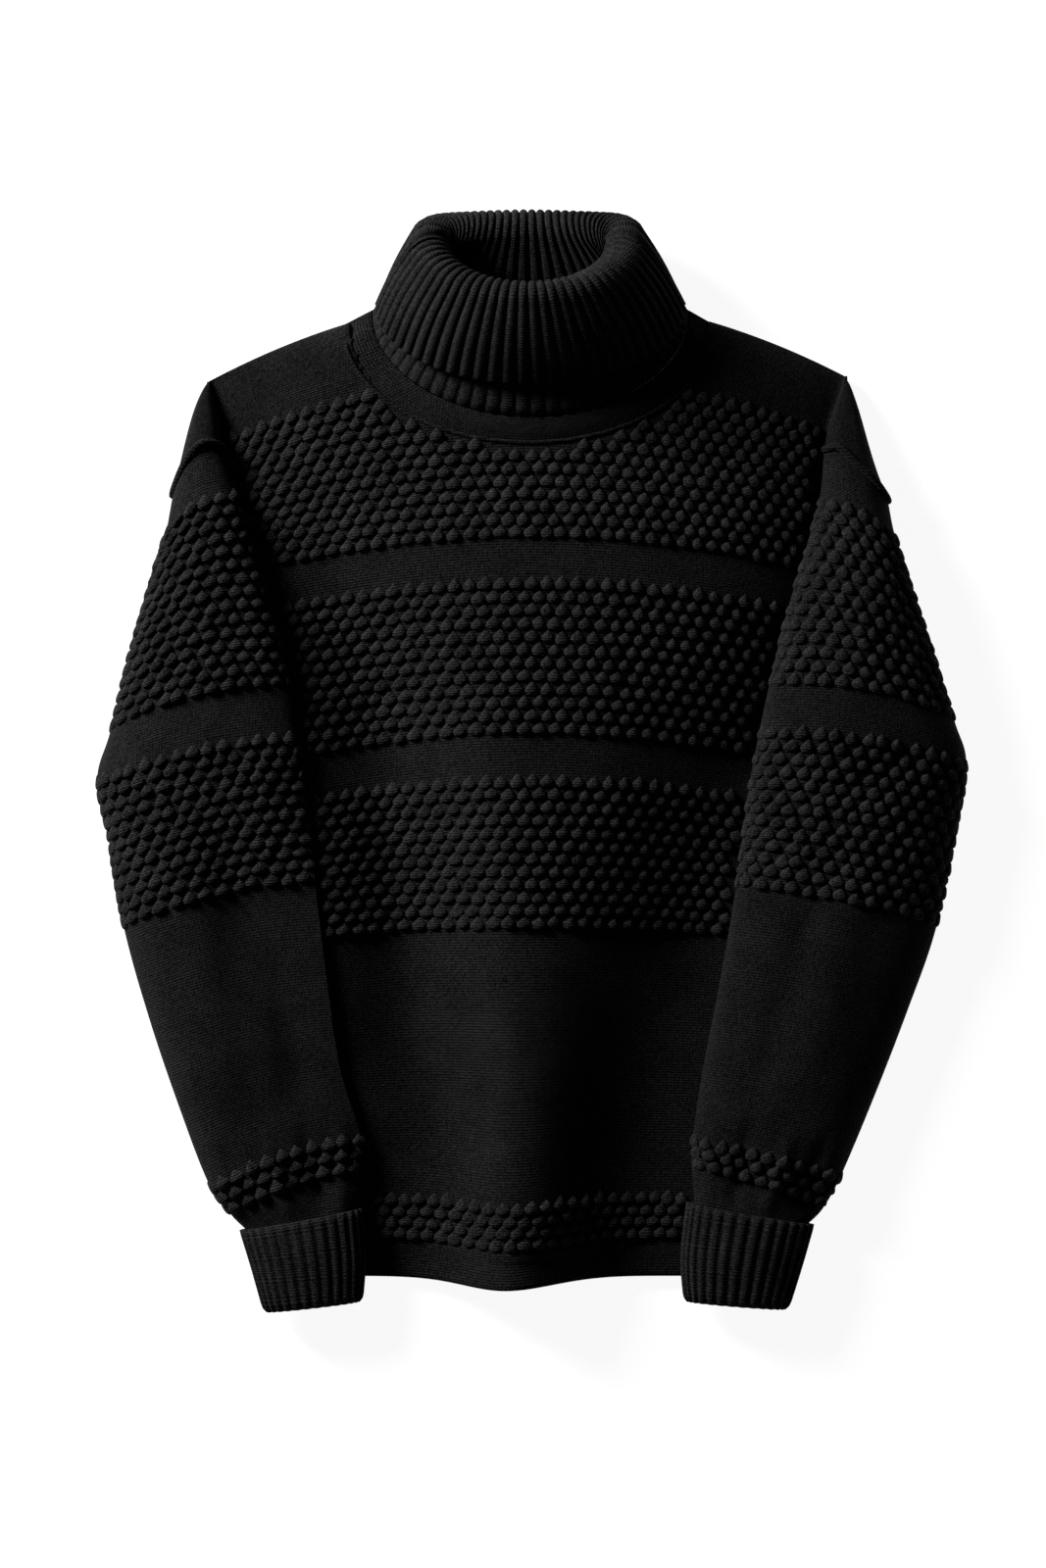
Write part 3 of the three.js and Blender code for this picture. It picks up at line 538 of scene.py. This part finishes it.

# The bobbles are the same black yarn as the plain knit, but their base colour is painted about 1.7 times
# lighter. This is painted light, standing in for the light their tilted faces catch.
lit_bobble_knit = knit_material("lit_bobble_knit", 0.0105, 2.6, 2.0, 1.7, 1.6)
rng = np.random.default_rng(7)
band_places = [lattice(top, bottom, -HALF_CHEST, HALF_CHEST) for top, bottom in BODY_BANDS]
spot_across = np.concatenate([band[0] for band in band_places])
spot_course = np.concatenate([band[1] for band in band_places])
spot_across = spot_across + rng.normal(0, 0.45, len(spot_across))
spot_course = spot_course + rng.normal(0, 0.4, len(spot_course))
spots = body_surface(spot_across, spot_course)
across_step = body_surface(spot_across + 2, spot_course) - body_surface(spot_across - 2, spot_course)
course_step = body_surface(spot_across, spot_course + 2) - body_surface(spot_across, spot_course - 2)
in_neck = ((spots[:, 0] - NECKLINE["x"]) / (NECKLINE["half"] + 5)) ** 2 + (
    (spots[:, 1] - NECKLINE["y"]) / (NECKLINE["front"] + 5)) ** 2 < 1
sleeve_edge = np.where(spots[:, 0] < 0, smooth(VALLEYS, "y", spots[:, 1], "left"),
                       smooth(VALLEYS, "y", spots[:, 1], "right"))
shown = (np.abs(spots[:, 0]) < np.abs(sleeve_edge) - 3) & ~in_neck
across_step, course_step = across_step[shown], course_step[shown]
across_step /= np.linalg.norm(across_step, axis=1, keepdims=True)
course_step /= np.linalg.norm(course_step, axis=1, keepdims=True)
body_bobbles = add_bobbles("front_bobbles", spots[shown], across_step, course_step, 1, lit_bobble_knit,
                           rng)
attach(body_bobbles, "root")
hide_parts("front_panel")


# Sleeves. Two flattened tubes of the same knit, sewn to the shoulder caps with a raised seam and
# folded in over the sides of the body; bobble bands, a plain forearm and a gathered wrist.
SLEEVES = {
    "left": {
        "at": list(range(14)),
        "outer_x": [-252, -258, -269, -283, -296, -305, -297, -286, -268, -247, -227, -211, -198, -192],
        "outer_y": [189, 156, 122, 75, 23, -10, -52, -115, -179, -241, -293, -315, -328, -342],
        "inner_x": [-216, -206, -196, -180, -168, -163, -158, -151, -143, -134, -120, -117, -123, -124],
        "inner_y": [222, 191, 156, 103, 54, 22, -16, -84, -151, -212, -259, -286, -312, -334],
        "arch": [13, 10, 9, 8, 7.6, 7, 7, 7, 6, 6, 7, 5, 3, 1],
        "skew": [1, 1, 1, 1.1, 1.2, 1.4, 1.8, 2.5, 3.0, 3.0, 2.5, 1.8, 1, 1],
        "height": [27, 33, 37, 40, 41, 42, 42, 42, 41, 39, 36, 32, 29, 26],
        "tuck": [0, 0, 0, 0, 0, 0, 0, 0, 0, 0, 0, 0, 4.4, 4.4],
    },
    "right": {
        "at": list(range(14)),
        "outer_x": [250, 255, 266, 282, 297, 305, 299, 284, 264, 240, 218, 204, 190, 183],
        "outer_y": [185, 160, 125, 77, 30, 2, -41, -114, -172, -234, -286, -311, -325, -340],
        "inner_x": [205, 202, 194, 178, 166, 160, 152, 143, 132, 120, 113, 112, 114, 113],
        "inner_y": [221, 188, 158, 104, 54, 26, -17, -86, -151, -213, -260, -282, -308, -332],
        "arch": [1, 4, 5, 7, 8, 7, 6, 4, 3, 3, 2, 2, 2, 1],
        "skew": [1, 1, 1, 0.95, 0.9, 0.9, 0.9, 0.95, 0.95, 0.95, 1, 1, 1, 1],
        "height": [27, 33, 37, 40, 41, 41, 39, 37, 35, 33, 31, 28, 27, 26],
        "tuck": [0, 0, 0, 0, 0, 0, 0, 0, 0, 0, 0, 0, 4.4, 4.4],
    },
}
SEAM_START = 0.06
ARMHOLE_WELT = 2.7
SLEEVE_BANDS = [(1, 4), (5, 7), (10, 11)]
SLEEVE_FOLDS = {
    "left": [
        {"line": (-248, 150, -215, 20), "wide": 15, "high": 1.8},
        {"line": (-270, 10, -212, -20), "wide": 14, "high": -2.2},
        {"line": (-246, -60, -204, -230), "wide": 24, "high": 4.5},
        {"line": (-198, -70, -158, -240), "wide": 15, "high": -3.0},
        {"line": (-186, -262, -168, -318), "wide": 6, "high": 2.0},
        {"line": (-160, -255, -146, -312), "wide": 6, "high": -2.4},
        {"line": (-134, -250, -132, -310), "wide": 6, "high": 1.6},
        {"line": (-215, -262, -192, -312), "wide": 6, "high": -1.8},
    ],
    "right": [
        {"line": (240, 150, 214, 20), "wide": 15, "high": 1.6},
        {"line": (272, 15, 214, -20), "wide": 14, "high": -2.0},
        {"line": (232, -60, 188, -225), "wide": 16, "high": 2.2},
        {"line": (203, -70, 156, -235), "wide": 11, "high": -1.8},
        {"line": (180, -258, 162, -314), "wide": 6, "high": 2.2},
        {"line": (152, -250, 140, -310), "wide": 6, "high": -2.4},
        {"line": (126, -250, 124, -304), "wide": 6, "high": 1.6},
        {"line": (206, -258, 184, -312), "wide": 6, "high": -1.8},
    ],
}


def tube_place(table, at, turn, fold_low, folds=()):
    """Place on a flattened tube of cloth, from a table of its two side folds."""
    angle = turn * 2 * math.pi
    out = (1 - np.cos(angle)) / 2
    outer_x, outer_y = smooth(table, "at", at, "outer_x"), smooth(table, "at", at, "outer_y")
    inner_x, inner_y = smooth(table, "at", at, "inner_x"), smooth(table, "at", at, "inner_y")
    arch = smooth(table, "at", at, "arch") * 4 * out * (1 - out) if "arch" in table else 0
    width_x, width_y = outer_x - inner_x, outer_y - inner_y
    turned = np.sign(table["outer_x"][0]) / np.hypot(width_x, width_y)
    x = inner_x + width_x * out - width_y * turned * arch
    y = inner_y + width_y * out + width_x * turned * arch
    rest = rest_height(x, y) + (smooth(table, "at", at, "tuck") if "tuck" in table else 0)
    fold = rest + fold_low
    lift = np.abs(np.sin(angle))
    upper = (angle % (2 * math.pi)) < math.pi
    leaned = out ** (smooth(table, "at", at, "skew") if "skew" in table else 1)
    swell = 2 * np.sqrt(np.clip(leaned * (1 - leaned), 0, 1))
    top = fold + (smooth(table, "at", at, "height") - fold) * swell**0.75
    top = top + fold_relief(x, y, folds) * np.clip(lift * 1.6, 0, 1)
    return np.stack([x, y, np.where(upper, top, fold - (fold - rest) * lift**0.4)], axis=-1)


def sleeve_place(side, at, turn):
    table = SLEEVES[side]
    place = tube_place(table, at, turn, SLEEVE_FOLD, SLEEVE_FOLDS[side])
    start = tube_place(table, 0 * at, turn, SLEEVE_FOLD, SLEEVE_FOLDS[side])
    out = (1 - np.cos(turn * 2 * math.pi)) / 2
    share = np.clip(1 - at, 0, 1) ** 2
    place[..., 0] += share * (smooth(SEAMS[side], "at", out * 4, "x") - start[..., 0])
    place[..., 1] += share * (smooth(SEAMS[side], "at", out * 4, "y") - start[..., 1])
    return place


def tube_grid(places):
    """Points, faces facing outwards and knit coordinates of a closed grid of places."""
    rows, columns = places.shape[:2]
    points = places.reshape(-1, 3)
    faces = grid_faces(rows, columns, closed=True)
    corners = points[faces]
    volume = np.einsum("ij,ij->i", corners[:, 0], np.cross(corners[:, 1], corners[:, 2])).sum()
    volume += np.einsum("ij,ij->i", corners[:, 0], np.cross(corners[:, 2], corners[:, 3])).sum()
    if volume < 0:
        faces = faces[:, ::-1]
    around = np.linalg.norm(np.diff(places, axis=1, append=places[:, :1]), axis=2)
    along = np.linalg.norm(np.diff(places, axis=0, prepend=places[:1]), axis=2).mean(axis=1)
    u = np.cumsum(around, axis=1) - around[:, : columns // 4].sum(axis=1, keepdims=True)
    v = np.broadcast_to(np.cumsum(along)[:, None], u.shape)
    return points, faces, np.stack([u, v], axis=-1).reshape(-1, 2)


def add_cord(name, line, radius, material, sides=8):
    """A thin raised seam along a line of places, its two ends closed."""
    ahead = np.gradient(line, axis=0)
    ahead /= np.linalg.norm(ahead, axis=1, keepdims=True)
    aside = np.cross(ahead, [0, 0, 1.0])
    aside /= np.linalg.norm(aside, axis=1, keepdims=True)
    over = np.cross(aside, ahead)
    turns = np.arange(sides) * 2 * math.pi / sides
    radii = np.full(len(line), float(radius))
    radii[[0, -1]] = 0.05
    ring = aside[:, None] * np.cos(turns)[None, :, None] + over[:, None] * np.sin(turns)[None, :, None]
    points = (line[:, None] + ring * radii[:, None, None]).reshape(-1, 3)
    faces = grid_faces(len(line), sides, closed=True)[:, ::-1]
    end = (len(line) - 1) * sides
    caps = [[end, end + k, end + k + 1, end + k + 1] for k in range(1, sides - 1)]
    caps += [[0, k + 1, k, k] for k in range(1, sides - 1)]
    coords = points[:, :2] * 0.8
    return add_mesh(name, points, np.concatenate([faces, caps]), coords, material)


def add_sleeve(side):
    last = len(SLEEVES[side]["at"]) - 1
    rows = np.linspace(SEAM_START, last, 240)
    columns = np.arange(132) / 132
    places = sleeve_place(side, rows[:, None], columns[None, :])
    points, faces, coords = tube_grid(places)
    sleeve = add_wall(f"{side}_sleeve_cloth", points, faces, coords, 0, WALL, plain_knit)
    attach(sleeve, "root")
    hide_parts(f"{side}_sleeve")

    top_line = sleeve_place(side, rows, np.full_like(rows, 0.25))
    lengths = np.concatenate([[0], np.cumsum(np.linalg.norm(np.diff(top_line, axis=0), axis=1))])
    ats, turns = [], []
    sweep = np.linspace(0.005, 0.495, 80)
    for start, end in SLEEVE_BANDS:
        first, final = np.interp([start, end], rows, lengths)
        count = max(int(round((final - first) / BOBBLE_ROW)), 1)
        for i in range(count):
            at = np.interp(first + (i + 0.5) * (final - first) / count, lengths, rows)
            arc = sleeve_place(side, np.full_like(sweep, at), sweep)
            reach = np.concatenate([[0], np.cumsum(np.linalg.norm(np.diff(arc, axis=0), axis=1))])
            middle = np.interp(0.25, sweep, reach)
            steps = np.arange(-20, 21) + (i % 2) / 2
            wanted = middle + steps * BOBBLE_PITCH
            wanted = wanted[(wanted > 0) & (wanted < reach[-1])]
            turns.append(np.interp(wanted, reach, sweep))
            ats.append(np.full(len(wanted), at))
    at, turn = np.concatenate(ats), np.concatenate(turns)
    at = at + rng.normal(0, 0.008, len(at))
    turn = turn + rng.normal(0, 0.002, len(turn))
    spots = sleeve_place(side, at, turn)
    across = sleeve_place(side, at, turn + 0.006) - sleeve_place(side, at, turn - 0.006)
    along = sleeve_place(side, at + 0.03, turn) - sleeve_place(side, at - 0.03, turn)
    across /= np.linalg.norm(across, axis=1, keepdims=True)
    along /= np.linalg.norm(along, axis=1, keepdims=True)
    along = -along
    if np.cross(across, along)[:, 2].mean() < 0:
        across = -across
    fullness = 0.35 + 0.65 * np.clip(np.sin(turn * 2 * math.pi) * 1.8, 0, 1)
    bobbles = add_bobbles(f"{side}_sleeve_bobbles", spots, across, along, fullness, lit_bobble_knit, rng)
    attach(bobbles, "root")
    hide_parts(f"{side}_sleeve")

    seam_turns = np.linspace(0.01, 0.49, 60)
    seam_line = sleeve_place(side, np.full_like(seam_turns, 0.02), seam_turns)
    seam_line += np.array([0, 0.6, 0.8])
    seam = add_cord(f"{side}_armhole_seam", seam_line, ARMHOLE_WELT, plain_knit)
    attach(seam, "root")
    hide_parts(f"{side}_sleeve")
    return sleeve


left_sleeve = add_sleeve("left")
right_sleeve = add_sleeve("right")


# Cuffs. Narrow ribs knitted on to the ends of the sleeves and turned back once, so the free edge
# lies up the sleeve over the gathered wrist; inside, the second layer meets the sleeve's end.
CUFFS = {
    "left": {"at": [0, 1, 2], "outer_x": [-205, -197, -188], "outer_y": [-326, -352, -384],
             "inner_x": [-118, -116, -118], "inner_y": [-310, -344, -376], "height": [32, 31, 28]},
    "right": {"at": [0, 1, 2], "outer_x": [198, 190, 180], "outer_y": [-322, -350, -382],
              "inner_x": [108, 104, 106], "inner_y": [-306, -344, -376], "height": [32, 31, 28]},
}
CUFF_FOLD = 8.5
CUFF_RIBS = 30
CUFF_RIB_DEPTH = 1.4
CUFF_LAYER_GAP = 0.9
INNER_CUFF_START = 0.42
rib_knit = knit_material("rib_knit", 0.0065, 2.4, 1.9, 0.6, 0.8)


def add_cuff(side):
    per_rib = 8
    columns = CUFF_RIBS * per_rib
    shares = np.linspace(0, 1, 41)
    places = tube_place(CUFFS[side], 2 * shares[:, None], np.arange(columns)[None, :] / columns, CUFF_FOLD)
    points, faces, _ = tube_grid(places)
    normals = face_normals(points, faces).reshape(places.shape)
    furrow = 0.5 - 0.5 * np.cos(2 * math.pi * np.arange(columns) / per_rib)
    depth = WALL + CUFF_LAYER_GAP
    loops = []

    def add_loop(share, inward, ribbed):
        row = int(round(share * 40))
        rib = CUFF_RIB_DEPTH * furrow**1.5 if ribbed else 0 * furrow
        loops.append(places[row] - normals[row] * (inward + rib)[:, None])

    add_loop(0, 1.2, True)
    for share in np.linspace(0, 0.9, 14):
        add_loop(share, 0.25 * (share == 0), True)
    turn_rows = ((0.95, 0.4), (0.985, 1.2), (1, 2.3), (1, WALL + depth - 1.6), (0.97, WALL + depth))
    for share, inward in turn_rows:
        add_loop(share, inward, True)
    add_loop(0.93, 2 * depth, False)
    add_loop(INNER_CUFF_START, 2 * depth, False)
    add_loop(INNER_CUFF_START, depth + 0.3, False)
    add_loop(0.9, depth + 0.3, False)
    add_loop(0.9, WALL, False)
    add_loop(0, WALL, False)
    loops.append(loops[0])
    grid = np.stack(loops)
    rows = len(loops)
    ring = grid_faces(rows, columns, closed=True)
    last = (rows - 1) * columns
    ring = np.where(ring >= last, ring - last, ring)
    flat_points = grid[:-1].reshape(-1, 3)
    corners = flat_points[ring]
    volume = np.einsum("ij,ij->i", corners[:, 0], np.cross(corners[:, 1], corners[:, 2])).sum()
    volume += np.einsum("ij,ij->i", corners[:, 0], np.cross(corners[:, 2], corners[:, 3])).sum()
    if volume < 0:
        ring = ring[:, ::-1]
    u = np.broadcast_to(np.arange(columns) * 5.7 / per_rib, (rows - 1, columns))
    steps = np.linalg.norm(np.diff(grid, axis=0), axis=2).mean(axis=1)
    v = np.broadcast_to(np.cumsum(steps)[:, None], (rows - 1, columns))
    coords = np.stack([u, v], axis=-1).reshape(-1, 2)
    cuff = add_mesh(f"{side}_cuff_cloth", flat_points, ring, coords, rib_knit)
    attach(cuff, "root")
    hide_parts(f"{side}_cuff")


add_cuff("left")
add_cuff("right")


# Neck band. A plain band picked up round the neckline; the seam where it joins the panels stands
# up as a thin welt.
NECK_RINGS = {
    "seam": {"x": -2, "y": 308, "half": 130, "deep": (83, 4), "z": (27, 4.6, 1.3)},
    "base": {"x": -1, "y": 318, "half": 110, "deep": (74, 6), "z": (32, 10, 6)},
    "rim": {"x": -3, "y": 365, "half": 60, "deep": (36, 21), "z": (72, 42, 17), "square": 0.5},
    "edge": {"x": -1, "y": 321, "half": 106.5, "deep": (56, 5), "z": (45, 18, 1.5), "fall": 0.6},
}


def ring_place(name, turn):
    """Place on a ring round the neck; its depths and heights are for the front, side and back."""
    ring = NECK_RINGS[name]
    forward = np.sin(turn * 2 * math.pi)
    ahead = forward > 0
    z_front, z_side, z_back = ring["z"]
    fall = np.abs(forward) ** np.where(ahead, 1, ring.get("fall", 1))
    square = np.abs(forward) ** np.where(ahead, 1, ring.get("square", 1))
    return np.stack([ring["x"] + ring["half"] * np.cos(turn * 2 * math.pi),
                     ring["y"] - np.where(ahead, *ring["deep"]) * np.sign(forward) * square,
                     z_side + (np.where(ahead, z_front, z_back) - z_side) * fall], axis=-1)


def neckline_place(turn):
    """Place on the neckline's seam, which at the front keeps to the height of the front panel."""
    place = ring_place("seam", turn)
    x, y = place[..., 0], place[..., 1]
    course = y + smooth(COURSES, "y", y, "droop") * (x / HALF_CHEST) ** 2
    ahead = smoothstep(np.sin(turn * 2 * math.pi), 0, 0.2)
    place[..., 2] += ahead * (front_height(x, y, course) - WALL / 2 - place[..., 2])
    return place


band_turns = -np.arange(240) / 240
band_shares = np.linspace(0, 1, 14)[:, None, None]
seam_ring = neckline_place(band_turns)
base_ring = ring_place("base", band_turns)
band_length = np.linalg.norm(base_ring - seam_ring, axis=1)[None, :, None]
band_reach = 0.9 + band_shares * (band_length - 2.4)
band_grid = seam_ring[None] + (base_ring - seam_ring)[None] * band_reach / band_length
band_swell = 1.5 * np.sin(math.pi * band_shares[..., 0]) * np.maximum(np.sin(band_turns * 2 * math.pi), 0)
band_grid[..., 2] += band_swell
band_points, band_faces, band_coords = tube_grid(band_grid)
if face_normals(band_points, band_faces)[:, 2].mean() < 0:
    band_faces = band_faces[:, ::-1]
neck_band = add_wall("neck_band_cloth", band_points, band_faces, band_coords, WALL / 2, WALL / 2,
                     plain_knit)
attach(neck_band, "root")
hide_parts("neck_band")

NECK_WELT = 1.5
front_turns = np.linspace(0.005, 0.495, 150)
welt_line = neckline_place(front_turns) + np.array([0, 0, NECK_WELT])
welt = add_cord("neckline_seam", welt_line, NECK_WELT, plain_knit)
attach(welt, "root")
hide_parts("neck_band")


# Collar. A wide tube of deep single ribs, folded over on itself once; it stands off the neck at
# the front and lies back flat on the table behind.
COLLAR_RIBS = 64
COLLAR_RIB_DEPTH = 2.3
COLLAR_FOLD = {"front": 9, "side": 13, "back": 13}
COLLAR_BELLY = 4
RIB_POINTS = 8

collar_turns = 1 - np.arange(COLLAR_RIBS * RIB_POINTS) / (COLLAR_RIBS * RIB_POINTS)
foot = ring_place("base", collar_turns)
rim = ring_place("rim", collar_turns)
edge = ring_place("edge", collar_turns)
forward = np.sin(collar_turns * 2 * math.pi)
far_fold = np.where(forward > 0, COLLAR_FOLD["front"], COLLAR_FOLD["back"])
radius = (COLLAR_FOLD["side"] + (far_fold - COLLAR_FOLD["side"]) * forward**2)[:, None]
up = rim - foot
up /= np.linalg.norm(up, axis=1, keepdims=True)
tangent = ring_place("rim", collar_turns + 0.01) - ring_place("rim", collar_turns - 0.01)
out = np.cross(up, tangent)
out /= np.linalg.norm(out, axis=1, keepdims=True)
centre = rim - up * radius
inside = centre - out * radius
outside = centre + out * radius
STANDING, TURNING, LYING = 14, 13, 24
collar_loops = [foot + (inside - foot) * share for share in np.linspace(0, 1, STANDING + 1)[:-1]]
for angle in np.linspace(0, math.pi, TURNING):
    collar_loops.append(centre - out * radius * math.cos(angle) + up * radius * math.sin(angle))
for share in np.linspace(0, 1, LYING + 1)[1:]:
    belly = (COLLAR_BELLY * math.sin(math.pi * share) * (1 + forward) / 2)[:, None]
    collar_loops.append(outside + (edge - outside) * share + out * belly)
collar_grid = np.stack(collar_loops)
collar_points, collar_faces, _ = tube_grid(collar_grid)
crest_row = STANDING + TURNING // 2
on_crest = slice(crest_row * len(collar_turns), (crest_row + 1) * len(collar_turns))
if (face_normals(collar_points, collar_faces)[on_crest] * up).sum() < 0:
    collar_faces = collar_faces[:, ::-1]
rib_round = np.abs(np.sin(np.arange(len(collar_turns)) * math.pi / RIB_POINTS)) ** 0.65
loop_share = np.linspace(0, 1, len(collar_loops))[:, None]
under_back = (1 - smoothstep(forward, -0.9, -0.4)) * smoothstep(loop_share, 0.45, 0.6)
collar_above = WALL / 2 - 0.5 + (COLLAR_RIB_DEPTH * rib_round[None, :]) * (1 - under_back)
foot_ribs = smoothstep(forward, 0, 0.3) * (1 - smoothstep(loop_share, 0.2, 0.3))
collar_below = WALL / 2 + 1.5 * rib_round[None, :] * foot_ribs
collar_steps = np.linalg.norm(np.diff(collar_grid, axis=0, prepend=collar_grid[:1]), axis=2)
collar_v = np.cumsum(collar_steps, axis=0)
collar_u = np.broadcast_to(np.arange(len(collar_turns)) * 7.2 / RIB_POINTS, collar_v.shape)
collar_coords = np.stack([collar_u, collar_v], axis=-1).reshape(-1, 2)
collar = add_wall("collar_cloth", collar_points, collar_faces, collar_coords, collar_above.ravel(),
                  collar_below.ravel(), rib_knit)
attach(collar, "root")
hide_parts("collar")
